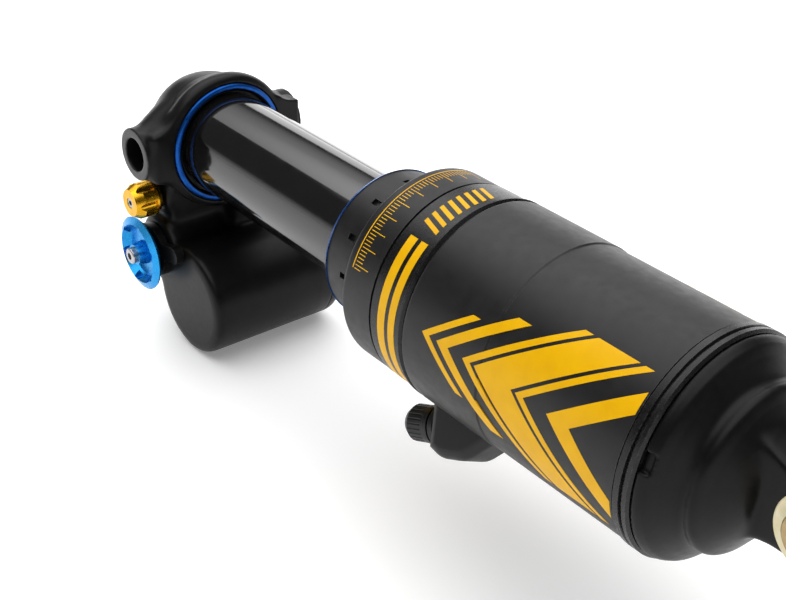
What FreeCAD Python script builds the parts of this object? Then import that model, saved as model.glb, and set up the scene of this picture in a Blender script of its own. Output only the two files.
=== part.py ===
import FreeCAD, Part
import math
import os

from FreeCAD import Placement, Rotation, Vector

# Trunnion-mount mountain-bike air shock, 225 mm eye to trunnion with 75 mm of travel.
# Frame: origin at the centre of the eyelet bore, +X away from the head, +Y along both pivot
# axes, +Z up, with the oil reservoir below. Stations along the shock ("_at") are measured
# from the trunnion axis towards the eyelet, in millimetres.

DRIVING = {
    "eye_to_trunnion": 225.0,
    "running_gap": 0.05,
    "seal_gap": 0.05,
    # head casting
    "trunnion_width": 54.0,
    "trunnion_hole_radius": 5.0,
    "trunnion_hole_depth": 10.0,
    "boss_radius": 7.9,
    "dome_radius": 18.4,
    "dome_back_offset": 1.5,
    "head_face_at": 8.8,
    "head_flange_radius": 21.1,
    "web_radius": 10.0,
    # damper tube, the blue ring round it and its seal head
    "tube_radius": 15.35,
    "tube_bore": 12.5,
    "tube_seat_at": 2.6,
    "tube_end_at": 114.5,
    "ring_outer_radius": 18.5,
    "ring_inner_radius": 16.1,
    "seal_head_front_at": 106.1,
    "air_piston_at": 106.5,
    "air_piston_length": 9.0,
    "seal_head_back_at": 118.5,
    # nose of the air can
    "collar_front_at": 84.6,
    "collar_radius": 20.3,
    "nose_front_at": 99.5,
    "nose_back_at": 111.0,
    "nose_radius": 26.5,
    # air can
    "sleeve_front_at": 111.5,
    "sleeve_back_at": 123.6,
    "sleeve_radius": 26.6,
    "can_front_at": 123.7,
    "can_radius": 27.1,
    "can_rear_radius": 26.8,
    "can_step_at": 150.0,
    "can_back_at": 190.6,
    "can_bore": 24.5,
    "lock_ring_radius": 27.15,
    "lock_ring_back_at": 195.1,
    # end cap and eyelet
    "spigot_front_at": 191.6,
    "cap_front_at": 195.5,
    "cap_radius": 26.6,
    "cap_valley_at": 203.2,
    "cap_valley_radius": 21.5,
    "cap_boss_radius": 21.9,
    "cap_bore_end_at": 198.6,
    "lug_half_width": 7.0,
    "lug_radius": 10.9,
    "lug_waist": 9.3,
    "eyelet_bore": 7.5,
    "pin_radius": 6.35,
    "pin_bore": 4.0,
    "bush_flange_radius": 9.4,
    "bush_flange": 1.1,
    # piston rod
    "rod_radius": 4.5,
    "rod_bore": 2.0,
    "piston_front_at": 91.5,
    "piston_length": 8.0,
    # reservoir, crosswise under the head
    "reservoir_x_at": 12.6,
    "reservoir_z": -46.4,
    "reservoir_radius": 17.35,
    "reservoir_near": -19.0,
    "reservoir_far": 23.5,
    "reservoir_end": 29.0,
    "reservoir_bore": 13.5,
    "floating_piston_length": 8.0,
    # adjusters on the near side of the neck
    "adjuster_x_at": -4.9,
    "compression_z": -35.6,
    "knob_rim": -25.0,
    "compression_radius": 11.7,
    "rebound_z": -17.8,
    "rebound_radius": 5.6,
    "gallery_radius": 10.4,
    "gallery_bore": 5.6,
    # air valve
    "valve_tilt": 22.0,
    "valve_angle": -116.5,
    "valve_at": 126.6,
    "valve_offset": 32.0,
    "valve_stem_radius": 3.75,
    "valve_cap_radius": 4.75,
    "valve_cap_length": 9.0,
    "slot_count": 12.0,
}


class Size:
    """A length that carries both its number and the sheet expression that drives it."""

    def __init__(self, number, text):
        self.number = float(number)
        self.text = text

    def __add__(self, other):
        other = size_of(other)
        return Size(self.number + other.number, f"({self.text} + {other.text})")

    def __sub__(self, other):
        other = size_of(other)
        return Size(self.number - other.number, f"({self.text} - {other.text})")

    def __mul__(self, factor):
        factor = size_of(factor)
        return Size(self.number * factor.number, f"({self.text} * {factor.text})")

    def __truediv__(self, divisor):
        divisor = size_of(divisor)
        return Size(self.number / divisor.number, f"({self.text} / {divisor.text})")

    def __neg__(self):
        return Size(-self.number, f"(0 - {self.text})")


def size_of(value):
    """Plain numbers become a Size too, so both kinds mix in one sum."""
    if isinstance(value, Size):
        return value
    return Size(value, f"({value})" if value < 0 else f"{value}")


class Sheet:
    """The spreadsheet of driving dimensions; each alias reads as an attribute."""

    def __init__(self, doc):
        sheet = doc.addObject("Spreadsheet::Sheet", "Sizes")
        for row, (alias, number) in enumerate(DRIVING.items(), start=1):
            sheet.set(f"A{row}", alias)
            sheet.set(f"B{row}", str(number))
            sheet.setAlias(f"B{row}", alias)
            setattr(self, alias, Size(number, f"Sizes.{alias}"))
        doc.recompute()


doc = FreeCAD.newDocument("air_shock")
dim = Sheet(doc)
pieces = []

ALONG_X = Rotation()
ALONG_Y = Rotation(Vector(0, 0, 1), 90)


def along(station):
    """Row-frame X of a station measured from the trunnion axis."""
    return size_of(station) - dim.eye_to_trunnion


def place(item, position, rotation=ALONG_X):
    """Put an object at a position whose three coordinates stay bound to the sheet."""
    x, y, z = (size_of(value) for value in position)
    item.Placement = Placement(Vector(x.number, y.number, z.number), rotation)
    for axis, value in (("x", x), ("y", y), ("z", z)):
        item.setExpression(f"Placement.Base.{axis}", value.text)
    return item


def plane_of(body, role):
    """The body's own origin plane with the given role."""
    return next(item for item in body.Origin.OriginFeatures if item.Role == role)


def closed_sketch(name, outline, body=None):
    """A closed outline of straight runs, each corner held by two driven distances."""
    if body:
        sketch = body.newObject("Sketcher::SketchObject", name)
        sketch.AttachmentSupport = [(plane_of(body, "XY_Plane"), "")]
        sketch.MapMode = "FlatFace"
    else:
        sketch = doc.addObject("Sketcher::SketchObject", name)
    corners = [(size_of(across), size_of(up)) for across, up in outline]
    vectors = [Vector(across.number, up.number, 0) for across, up in corners]
    for index, start in enumerate(vectors):
        sketch.addGeometry(Part.LineSegment(start, vectors[(index + 1) % len(vectors)]), False)
    for index in range(len(corners)):
        after = (index + 1) % len(corners)
        sketch.addConstraint(sketcher_constraint("Coincident", index, 2, after, 1))
    for index, corner in enumerate(corners):
        for kind, value, axis in (("DistanceX", corner[0], -2), ("DistanceY", corner[1], -1)):
            if value.number == 0:
                sketch.addConstraint(sketcher_constraint("PointOnObject", index, 1, axis))
                continue
            number = sketch.addConstraint(sketcher_constraint(kind, index, 1, value.number))
            sketch.setExpression(f"Constraints[{number}]", value.text)
    return sketch


def sketcher_constraint(*words):
    """A Sketcher constraint; the module loads only when the first sketch is drawn."""
    import Sketcher
    return Sketcher.Constraint(*words)


def circular_edges(shape, station, radius):
    """Names of a turned blank's edges that lie at the given station and radius."""
    names = []
    for number, edge in enumerate(shape.Edges, start=1):
        curve = edge.Curve
        if not isinstance(curve, Part.Circle):
            continue
        if abs(curve.Radius - radius) < 1e-4 and abs(curve.Center.x - station) < 1e-4:
            names.append(f"Edge{number}")
    return names


def turned(label, outline, rounds=(), position=(0, 0, 0), rotation=ALONG_X):
    """A lathe-turned piece: an (along, radius) outline revolved about its own X axis.

    rounds lists (along, radius, fillet) for the outline corners that are rounded."""
    body = doc.addObject("PartDesign::Body", f"{label}_body")
    sketch = closed_sketch(f"{label}_outline", outline, body)
    spin = body.newObject("PartDesign::Revolution", f"{label}_spin")
    spin.Profile = sketch
    spin.ReferenceAxis = (sketch, ["H_Axis"])
    spin.Angle = 360.0
    doc.recompute()
    if spin.Shape.Volume < 0:
        spin.Reversed = True
        doc.recompute()
    for number, (station, radius, fillet) in enumerate(rounds, start=1):
        station, radius, fillet = size_of(station), size_of(radius), size_of(fillet)
        names = circular_edges(body.Tip.Shape, station.number, radius.number)
        if not names:
            raise ValueError(f"{label}: no corner at {station.number}, {radius.number}")
        base = body.Tip
        rounding = body.newObject("PartDesign::Fillet", f"{label}_round_{number}")
        rounding.Base = (base, names)
        rounding.Radius = fillet.number
        rounding.setExpression("Radius", fillet.text)
        doc.recompute()
    body.Label = label
    return place(body, position, rotation)


def primitive(kind, name, position, rotation=ALONG_X, **sizes):
    """A Part primitive whose sizes are bound to the sheet."""
    item = doc.addObject(f"Part::{kind}", name)
    for key, value in sizes.items():
        value = size_of(value)
        setattr(item, key, value.number)
        item.setExpression(key, value.text)
    return place(item, position, rotation)


def rod_x(name, radius, start, end, y=0, z=0):
    """A cylinder along +X between two X coordinates."""
    turn = Rotation(Vector(0, 1, 0), 90)
    length = size_of(end) - start
    return primitive("Cylinder", name, (start, y, z), turn, Radius=radius, Height=length)


def rod_y(name, radius, start, end, x, z):
    """A cylinder along +Y between two Y coordinates."""
    turn = Rotation(Vector(1, 0, 0), -90)
    length = size_of(end) - start
    return primitive("Cylinder", name, (x, start, z), turn, Radius=radius, Height=length)


def block(name, low, high):
    """A box between two corners."""
    spans = [size_of(top) - bottom for bottom, top in zip(low, high)]
    return primitive("Box", name, low, Length=spans[0], Width=spans[1], Height=spans[2])


def plate(name, outline, half_width, position, rotation):
    """An outline extruded the same distance to both sides of its own plane."""
    item = doc.addObject("Part::Extrusion", name)
    item.Base = closed_sketch(f"{name}_outline", outline)
    item.DirMode = "Custom"
    item.Dir = Vector(0, 0, 1)
    item.Solid = True
    half = size_of(half_width)
    for key in ("LengthFwd", "LengthRev"):
        setattr(item, key, half.number)
        item.setExpression(key, half.text)
    return place(item, position, rotation)


def softened(name, item, radius, chosen):
    """The item with a fillet on every edge whose middle point the test picks out."""
    doc.recompute()
    radius = size_of(radius)
    edges = []
    for number, edge in enumerate(item.Shape.Edges, start=1):
        middle = edge.valueAt((edge.FirstParameter + edge.LastParameter) / 2)
        if chosen(middle):
            edges.append((number, radius.number, radius.number))
    result = doc.addObject("Part::Fillet", name)
    result.Base = item
    result.Edges = edges
    return result


def fused(name, items):
    """One solid from several overlapping ones."""
    joined = doc.addObject("Part::MultiFuse", name)
    joined.Shapes = items
    joined.Refine = True
    return joined


def cut(name, base, tools):
    """The base with every tool taken away."""
    result = doc.addObject("Part::Cut", name)
    result.Base = base
    result.Tool = tools[0] if len(tools) == 1 else fused(f"{name}_tools", tools)
    result.Refine = True
    return result


def keep(item, label):
    """Name a finished sub-part and put it on the list of pieces to write."""
    item.Label = label
    pieces.append(item)
    return item


def turned_piece(label, outline, rounds=(), position=(0, 0, 0), rotation=ALONG_X):
    """A sub-part that is a single turned solid."""
    return keep(turned(label, outline, rounds, position, rotation), label)


def ring_outline(front, back, inner, outer):
    """The four corners of a plain ring."""
    return [(front, inner), (back, inner), (back, outer), (front, outer)]


# ---------------------------------------------------------------- head and damper tube

def head_casting():
    """Trunnion head, neck, valve gallery and reservoir barrel, cast in one piece."""
    half = dim.trunnion_width / 2
    face = along(dim.head_face_at)
    dome_x = along(-dim.dome_back_offset)
    knob_x = along(dim.adjuster_x_at)
    barrel_x = along(dim.reservoir_x_at)
    dome = primitive("Sphere", "head_dome", (dome_x, 0, 0), Radius=dim.dome_radius)
    flare = primitive(
        "Cone", "head_flare", (dome_x, 0, 0), Rotation(Vector(0, 1, 0), 90),
        Radius1=dim.dome_radius, Radius2=dim.head_flange_radius, Height=face - dome_x,
    )
    arms = rod_y("head_arms", dim.boss_radius, -half, half, along(0), 0)
    neck = block(
        "head_neck", (along(-13.0), -16.0, dim.reservoir_z + 8), (along(0.6), 16.0, -10.0)
    )
    saddle = block(
        "head_saddle", (along(0.5), 2.0, dim.reservoir_z), (along(8.0), 15.0, -17.0)
    )
    gallery = rod_y("head_gallery", dim.gallery_radius, -19.0, 18.0, knob_x, dim.compression_z)
    rebound_boss = rod_y("head_rebound_boss", 5.4, -17.6, 0.0, knob_x, dim.rebound_z)
    barrel = rod_y(
        "head_barrel", dim.reservoir_radius, dim.reservoir_near, dim.reservoir_far,
        barrel_x, dim.reservoir_z,
    )
    solid = fused("head_solid", [
        dome, flare, arms, *arm_shoulders(), arm_web("head_web"), neck, saddle, gallery,
        gallery_link(), rebound_boss, barrel,
    ])
    tools = [
        block("head_face_trim", (face, -half - 1, -dim.head_flange_radius - 0.4),
              (face + 12, half + 1, dim.head_flange_radius + 0.4)),
        rod_x("head_tube_seat", dim.tube_radius, along(dim.tube_seat_at), face + 12),
        rod_x("head_ring_recess", dim.ring_outer_radius + 0.1, face - 3.2, face + 1),
        rod_y("head_reservoir_bore", dim.reservoir_bore, -14.0, dim.reservoir_far + 1,
              barrel_x, dim.reservoir_z),
        rod_y("head_gallery_bore", dim.gallery_bore, -19.8, 8.0, knob_x, dim.compression_z),
        rod_y("head_rebound_bore", 2.6, -18.6, 4.0, knob_x, dim.rebound_z),
        rod_x("head_oil_port", 3.0, knob_x, along(dim.tube_seat_at) + 1, 0, -6.0),
        primitive("Cylinder", "head_down_port", (knob_x, 0, dim.compression_z),
                  Radius=3.0, Height=-dim.compression_z - 4.0),
        rod_x("head_cross_port", 3.0, knob_x, barrel_x, 0, dim.compression_z - 6.0),
    ]
    for side, start, end in (("left", -half - 1, dim.trunnion_hole_depth - half),
                             ("right", half - dim.trunnion_hole_depth, half + 1)):
        tools.append(rod_y(f"head_{side}_hole", dim.trunnion_hole_radius, start, end,
                           along(0), 0))
    keep(cut("head", solid, tools), "head_casting")


def arm_shoulders():
    """Cones that carry the dome's round back out along both trunnion arms."""
    inner, middle, outer = size_of(9.0), size_of(15.5), size_of(23.5)
    cones = []
    for side, turn, sign in (("left", 90, -1), ("right", -90, 1)):
        for name, start, end, wide, narrow in (
            ("inner", inner, middle, dim.dome_radius - 2.4, size_of(12.4)),
            ("outer", middle, outer, size_of(12.4), dim.boss_radius),
        ):
            cones.append(primitive(
                "Cone", f"head_{side}_{name}_shoulder", (along(0), start * sign, 0),
                Rotation(Vector(1, 0, 0), turn), Radius1=wide, Radius2=narrow,
                Height=end - start,
            ))
    return cones


def gallery_link():
    """Metal between the valve gallery and the reservoir barrel, level with both ends."""
    across = dim.reservoir_x_at - dim.adjuster_x_at
    down = dim.compression_z - dim.reservoir_z
    lean = math.degrees(math.atan2(down.number, across.number))
    length = math.hypot(across.number, down.number)
    turn = Rotation(Vector(0, 1, 0), lean)
    corner = turn.multVec(Vector(0, 0, -9.6))
    start = (along(dim.adjuster_x_at) + corner.x, dim.reservoir_near,
             dim.compression_z + corner.z)
    return primitive("Box", "head_link", start, turn, Length=length, Width=37.0, Height=19.2)


def arm_web(name):
    """The plate behind the front face that runs out to both trunnion bosses.

    Its edge is a circle over the tube that blends into the arms through hollow corners."""
    reach = dim.trunnion_width.number / 2 - 2.5
    circle = dim.head_flange_radius.number
    arm = dim.boss_radius.number
    hollow = dim.web_radius.number
    centre_up = arm + hollow
    centre_out = math.sqrt((circle + hollow) ** 2 - centre_up ** 2)
    lean = math.atan2(centre_up, centre_out)
    meet = Vector(0, circle * math.cos(lean), circle * math.sin(lean))
    low = Vector(0, centre_out, arm)
    middle_angle = (lean + math.pi + 1.5 * math.pi) / 2
    middle = Vector(0, centre_out + hollow * math.cos(middle_angle),
                    centre_up + hollow * math.sin(middle_angle))
    end_out = max(reach, centre_out)

    def turn(point, out, up):
        return Vector(0, point.y * out, point.z * up)

    end = Vector(0, end_out, arm)
    edges = []
    for out, up in ((1, 1), (-1, -1)):
        edges.append(Part.LineSegment(turn(end, out, -up), turn(end, out, up)))
        if end_out > centre_out:
            edges.append(Part.LineSegment(turn(end, out, up), turn(low, out, up)))
        edges.append(Part.Arc(turn(low, out, up), turn(middle, out, up), turn(meet, out, up)))
        top = Vector(0, 0, circle * up)
        edges.append(Part.Arc(turn(meet, out, up), top, turn(meet, -out, up)))
        edges.append(Part.Arc(turn(meet, -out, up), turn(middle, -out, up),
                              turn(low, -out, up)))
        if end_out > centre_out:
            edges.append(Part.LineSegment(turn(low, -out, up), turn(end, -out, up)))
    face = Part.Face(Part.Wire([edge.toShape() for edge in edges]))
    thickness = 5.5
    item = doc.addObject("Part::Feature", name)
    item.Shape = face.extrude(Vector(thickness, 0, 0))
    return place(item, (along(dim.head_face_at) - thickness, 0, 0))


def damper_tube():
    """The black tube that slides into the can, bored for the main piston."""
    front, back = along(dim.tube_seat_at), along(dim.tube_end_at)
    turned_piece("damper_tube", ring_outline(front, back, dim.tube_bore, dim.tube_radius))


def head_ring():
    """Blue anodised ring let into the head's face round the tube."""
    front, back = along(dim.head_face_at) - 3.2, along(dim.head_face_at) + 0.5
    outer, inner = dim.ring_outer_radius, dim.ring_inner_radius
    turned_piece(
        "head_ring", ring_outline(front, back, inner, outer),
        [(back, outer, 1.1), (back, inner, 1.1)],
    )


def head_tube_seal():
    """O-ring between the end of the tube and the head."""
    front = along(dim.head_face_at) - 3.2
    turned_piece(
        "head_tube_seal",
        ring_outline(front, front + 1.6, dim.tube_radius, dim.ring_inner_radius),
    )


def seal_head():
    """Threaded plug in the tube's end: guides the rod and carries the air piston."""
    front, back = along(dim.seal_head_front_at), along(dim.seal_head_back_at)
    land = along(dim.air_piston_at)
    land_back = land + dim.air_piston_length
    tube_end = along(dim.tube_end_at)
    land_radius = dim.can_bore - dim.running_gap
    groove = land_radius - 2.4
    turned_piece("seal_head", [
        (front, dim.rod_radius + 1.2), (front + 5.0, dim.rod_radius + 1.2),
        (front + 5.0, dim.rod_radius + dim.running_gap),
        (back - 3.0, dim.rod_radius + dim.running_gap),
        (back - 3.0, dim.rod_radius + 3.0), (back, dim.rod_radius + 3.0),
        (back, dim.tube_radius + 2.0), (land_back, dim.tube_radius + 2.0),
        (land_back, land_radius), (land_back - 1.4, land_radius),
        (land_back - 1.4, groove), (land_back - 4.2, groove),
        (land_back - 4.2, land_radius), (land + 3.4, land_radius),
        (land + 3.4, groove + 1.2), (land + 1.2, groove + 1.2),
        (land + 1.2, land_radius), (land, land_radius),
        (land, dim.tube_radius), (tube_end, dim.tube_radius),
        (tube_end, dim.tube_bore), (front, dim.tube_bore),
    ])


def seal_head_pieces():
    """Bush, seals and bands that the seal head carries, and its two bumpers."""
    front, back = along(dim.seal_head_front_at), along(dim.seal_head_back_at)
    land = along(dim.air_piston_at)
    land_back = land + dim.air_piston_length
    land_radius = dim.can_bore - dim.running_gap
    groove = land_radius - 2.4
    rod_fit = dim.rod_radius + dim.running_gap
    turned_piece("rod_bush", ring_outline(front, front + 5.0, rod_fit, dim.rod_radius + 1.2))
    turned_piece("rod_seal", ring_outline(back - 3.0, back - 0.4, rod_fit,
                                          dim.rod_radius + 3.0))
    turned_piece("air_piston_seal",
                 ring_outline(land_back - 4.2, land_back - 1.4, groove,
                              dim.can_bore - dim.seal_gap))
    turned_piece("air_piston_band",
                 ring_outline(land + 1.2, land + 3.4, groove + 1.2,
                              dim.can_bore - dim.seal_gap))
    turned_piece("top_out_bumper",
                 ring_outline(land - 3.4, land, dim.tube_radius, dim.tube_radius + 3.2))


# ---------------------------------------------------------------- reservoir and adjusters

def reservoir_pieces():
    """Screwed-in reservoir cap with its seal and fill screw, and the floating piston."""
    x, z = along(dim.reservoir_x_at), dim.reservoir_z
    spot = (x, 0, z)
    far, end = dim.reservoir_far, dim.reservoir_end
    bore, outer = dim.reservoir_bore, dim.reservoir_radius
    turned_piece("reservoir_cap", [
        (far - 4.5, 9.0), (far - 4.5, bore), (far - 3.0, bore), (far - 3.0, bore - 1.4),
        (far - 1.0, bore - 1.4), (far - 1.0, bore), (far, bore), (far, outer),
        (end, outer), (end, 2.6), (end - 3.2, 2.6), (end - 3.2, 1.5), (end - 4.8, 1.5),
        (end - 4.8, 9.0),
    ], [(end, outer, 4.6)], spot, ALONG_Y)
    turned_piece("reservoir_cap_seal", ring_outline(far - 3.0, far - 1.0, bore - 1.4, bore),
                 (), spot, ALONG_Y)
    turned_piece("gas_fill_screw", [
        (end - 4.8, 0), (end - 0.4, 0), (end - 0.4, 2.6), (end - 3.2, 2.6),
        (end - 3.2, 1.5), (end - 4.8, 1.5),
    ], (), spot, ALONG_Y)
    near = size_of(-4.0)
    back = near + dim.floating_piston_length
    fit = bore - dim.running_gap
    turned_piece("floating_piston", [
        (near, 0), (near, fit), (near + 2.8, fit), (near + 2.8, fit - 2.0),
        (near + 5.2, fit - 2.0), (near + 5.2, fit), (back, fit), (back, fit - 3.0),
        (near + 2.6, fit - 5.0), (near + 2.6, 0),
    ], (), spot, ALONG_Y)
    turned_piece("floating_piston_seal",
                 ring_outline(near + 2.8, near + 5.2, fit - 2.0, fit), (), spot, ALONG_Y)


def compression_knob():
    """Blue dished knob with a bevelled rim and a ring of finger scallops in its dish."""
    spot = (along(dim.adjuster_x_at), 0, dim.compression_z)
    rim, outer = dim.knob_rim, dim.compression_radius
    dish = outer - 2.3
    blank = turned("compression_knob_blank", [
        (rim + 3.2, 1.6), (rim + 3.2, outer - 5.0), (rim + 0.5, outer - 0.2), (rim, outer),
        (rim - 1.1, dish), (rim + 1.6, dish - 1.6), (rim + 1.6, 3.8), (rim - 1.9, 3.2),
        (rim - 1.9, 1.6),
    ], (), spot, ALONG_Y)
    tools = []
    for index in range(6):
        angle = math.radians(60 * index + 20)
        reach = dish - 1.4
        tools.append(rod_y(
            f"knob_scallop_{index}", 1.7, rim - 2.4, rim + 0.9,
            spot[0] + reach * math.cos(angle), spot[2] + reach * math.sin(angle),
        ))
    keep(cut("compression_knob_cut", blank, tools), "compression_knob")


def adjuster_pieces():
    """The screw, needle and valve behind the blue knob, the lever, and the rebound knob."""
    x = along(dim.adjuster_x_at)
    low, high = (x, 0, dim.compression_z), (x, 0, dim.rebound_z)
    rim = dim.knob_rim
    turned_piece("compression_knob_screw", [
        (rim - 2.4, 0), (rim - 2.4, 1.1), (rim - 3.7, 1.1), (rim - 3.7, 2.5),
        (rim - 1.9, 2.5), (rim - 1.9, 1.5), (rim + 2.0, 1.5), (rim + 2.0, 0),
    ], [(rim - 3.7, 2.5, 0.5)], low, ALONG_Y)
    turned_piece("compression_needle", [
        (rim + 2.1, 0), (rim + 2.1, 1.5), (-12.0, 1.5), (-9.0, 0.6), (-9.0, 0),
    ], (), low, ALONG_Y)
    valve_outer = dim.gallery_bore
    turned_piece("compression_valve", [
        (-18.6, 1.6), (-11.5, 1.6), (-8.5, 0.7), (-4.0, 0.7), (-4.0, valve_outer - 1.6),
        (7.0, valve_outer - 1.6), (7.0, valve_outer - 0.4), (-5.0, valve_outer - 0.4),
        (-5.0, valve_outer), (-18.6, valve_outer),
    ], (), low, ALONG_Y)
    lever()
    turned_piece("rebound_needle", [
        (-18.5, 0), (-18.5, 2.5), (-6.0, 2.5), (-2.0, 0.6), (-2.0, 0),
    ], (), high, ALONG_Y)
    rebound_knob(high)
    turned_piece("rebound_knob_screw", ring_outline(-27.0, -24.0, 0.8, 1.7), (), high,
                 ALONG_Y)


def lever():
    """Black climb lever: a thin collar round the needle with a finger towards the can."""
    x, z = along(dim.adjuster_x_at), dim.compression_z
    collar = rod_y("lever_collar", 8.6, -21.5, -19.3, x, z)
    finger = block("lever_finger", (0, -21.5, -2.4), (15.0, -19.3, 2.4))
    place(finger, (x, -21.5, z - 2.2), Rotation(Vector(0, 1, 0), -16))
    tip = primitive("Cylinder", "lever_tip", (x + 14.2, -21.9, z + 4.2),
                    Rotation(Vector(1, 0, 0), -90), Radius=2.7, Height=2.6)
    hole = rod_y("lever_hole", 1.55, -23.0, -18.0, x, z)
    keep(cut("lever_cut", fused("lever_solid", [collar, finger, tip]), [hole]),
         "climb_lever")


def rebound_knob(spot):
    """Gold lobed knob: six grip flutes and a bevelled nose."""
    outer = dim.rebound_radius
    blank = turned("rebound_knob_blank", [
        (-27.2, 1.7), (-24.0, 1.7), (-24.0, 0), (-18.5, 0), (-18.5, 4.6),
        (-20.0, outer), (-24.6, outer), (-27.2, 4.2),
    ], (), spot, ALONG_Y)
    tools = []
    for index in range(6):
        angle = math.radians(60 * index)
        reach = outer + 0.9
        tools.append(rod_y(f"rebound_flute_{index}", 1.7, -28.0, -20.6,
                           spot[0] + reach * math.cos(angle),
                           spot[2] + reach * math.sin(angle)))
    keep(cut("rebound_knob_cut", blank, tools), "rebound_knob")


# ---------------------------------------------------------------- nose of the air can

def slots(name, station, width, length, inner, outer, count, first=0.0):
    """Boxes for radial slots, evenly spaced round the shock's axis."""
    tools = []
    for index in range(count):
        degrees = first + 360.0 / count * index
        cosine, sine = math.cos(math.radians(degrees)), math.sin(math.radians(degrees))
        corner = (station, -(width / 2) * cosine - inner * sine,
                  inner * cosine - (width / 2) * sine)
        tools.append(primitive("Box", f"{name}_{index}", corner,
                               Rotation(Vector(1, 0, 0), degrees),
                               Length=length, Width=width, Height=outer - inner))
    return tools


def can_collar():
    """Narrow slotted collar that holds the wiper, bush and seal on the tube."""
    front, back = along(dim.collar_front_at), along(dim.nose_front_at) + 3.0
    outer = dim.collar_radius
    wall = dim.tube_radius + 0.4
    blank = turned("can_collar_blank", [
        (front + 1.1, outer), (back, outer),
        (back, wall), (back - 2.0, wall), (back - 2.0, wall + 1.7), (back - 5.0, wall + 1.7),
        (back - 5.0, wall), (back - 6.0, wall), (back - 6.0, wall + 0.7),
        (front + 5.0, wall + 0.7), (front + 5.0, wall), (front + 4.0, wall),
        (front + 4.0, outer - 2.6), (front + 1.1, outer - 2.6),
    ])
    station = along(91.2)
    tools = slots("collar_slot", station, size_of(1.7), size_of(2.6), outer - 1.0,
                  outer + 1, int(dim.slot_count.number))
    keep(cut("can_collar_cut", blank, tools), "can_collar")


def collar_pieces():
    """Blue wiper retainer, dust wiper, guide bush and air seal inside the collar."""
    front, back = along(dim.collar_front_at), along(dim.nose_front_at) + 3.0
    outer = dim.collar_radius
    slide = dim.tube_radius + dim.running_gap
    wall = dim.tube_radius + 0.4
    turned_piece("wiper_ring", [
        (front, outer - 2.4), (front + 1.1, outer - 2.4), (front + 1.1, outer + 0.25),
        (front, outer - 0.4),
    ])
    turned_piece("dust_wiper", [
        (front + 0.2, slide), (front + 4.0, slide), (front + 4.0, outer - 2.6),
        (front + 0.9, outer - 2.6), (front + 0.9, outer - 3.2), (front + 0.2, slide + 0.7),
    ])
    turned_piece("collar_bush", ring_outline(front + 5.0, back - 6.0, slide, wall + 0.7))
    turned_piece("collar_air_seal", ring_outline(back - 5.0, back - 2.0, slide, wall + 1.7))


def can_nose():
    """Wide ring that closes the front of the can and screws onto the collar."""
    front, back = along(dim.nose_front_at), along(dim.nose_back_at)
    outer = dim.nose_radius
    turned_piece("can_nose", [
        (front, dim.collar_radius), (front, outer), (back, outer), (back, dim.can_bore + 0.8),
        (back + 4.0, dim.can_bore + 0.8), (back + 4.0, dim.can_bore), (front + 3.6, dim.can_bore),
        (front + 3.6, dim.collar_radius),
    ], [(front, outer, 1.6)])


def can_sleeve():
    """Short sleeve over the can's front end, with a rolled lip at its back."""
    front, back = along(dim.sleeve_front_at), along(dim.sleeve_back_at)
    outer, inner = dim.sleeve_radius, dim.can_bore + 0.8
    turned_piece("can_sleeve", [
        (front, inner), (front, outer - 0.3), (front + 0.3, outer), (back - 1.9, outer),
        (back - 1.4, outer + 0.5), (back - 0.8, outer + 0.5), (back, outer - 0.5),
        (back, inner),
    ])


def can_seals():
    """Two O-rings between the sleeve, the can and the nose."""
    inner = dim.can_bore + 0.05
    first = along(dim.nose_back_at) + 4.2
    turned_piece("sleeve_seal", ring_outline(first, first + 1.8, inner, inner + 0.75))


# ---------------------------------------------------------------- air can, end cap, rod

def air_can():
    """Main can: stepped barrel with the valve boss swelling from its underside."""
    front, back = along(dim.can_front_at), along(dim.can_back_at)
    step = along(dim.can_step_at)
    outer, rear, bore = dim.can_radius, dim.can_rear_radius, dim.can_bore
    barrel = turned("air_can_barrel", [
        (front - 5.8, bore), (front - 5.8, bore + 0.8), (front, bore + 0.8), (front, outer),
        (step - 0.5, outer), (step, rear), (back, rear), (back, bore + 1.0),
        (back + 4.4, bore + 1.0), (back + 4.4, bore),
    ], [(front, outer, 1.0)])
    mouth, outward = valve_frame()
    inward_turn = Rotation(Vector(0, 0, 1), outward * -1)
    inside = rod_x("air_can_inside", bore, front - 10, front + 60)
    boss = cut("valve_boss", valve_boss(), [inside])
    solid = fused("air_can_solid", [barrel, boss])
    stem_hole = primitive("Cylinder", "valve_thread_hole", beyond(mouth, outward, 0.5),
                          inward_turn, Radius=3.2, Height=8.5)
    port = primitive("Cylinder", "valve_air_port", mouth, inward_turn,
                     Radius=1.2, Height=22.0)
    keep(cut("air_can_cut", solid, [stem_hole, port]), "air_can")


def valve_frame():
    """Centre of the valve boss's mouth, and the direction in which the valve points."""
    around = math.radians(dim.valve_angle.number)
    tilt = math.radians(dim.valve_tilt.number)
    out = Vector(0, math.cos(around), math.sin(around))
    outward = Vector(-math.cos(tilt), 0, 0) + out * math.sin(tilt)
    mouth = (along(dim.valve_at), dim.valve_offset * out.y, dim.valve_offset * out.z)
    return mouth, outward


def beyond(point, direction, distance):
    """The point moved along a direction."""
    return tuple(value + step * distance for value, step in zip(point, direction))


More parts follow.
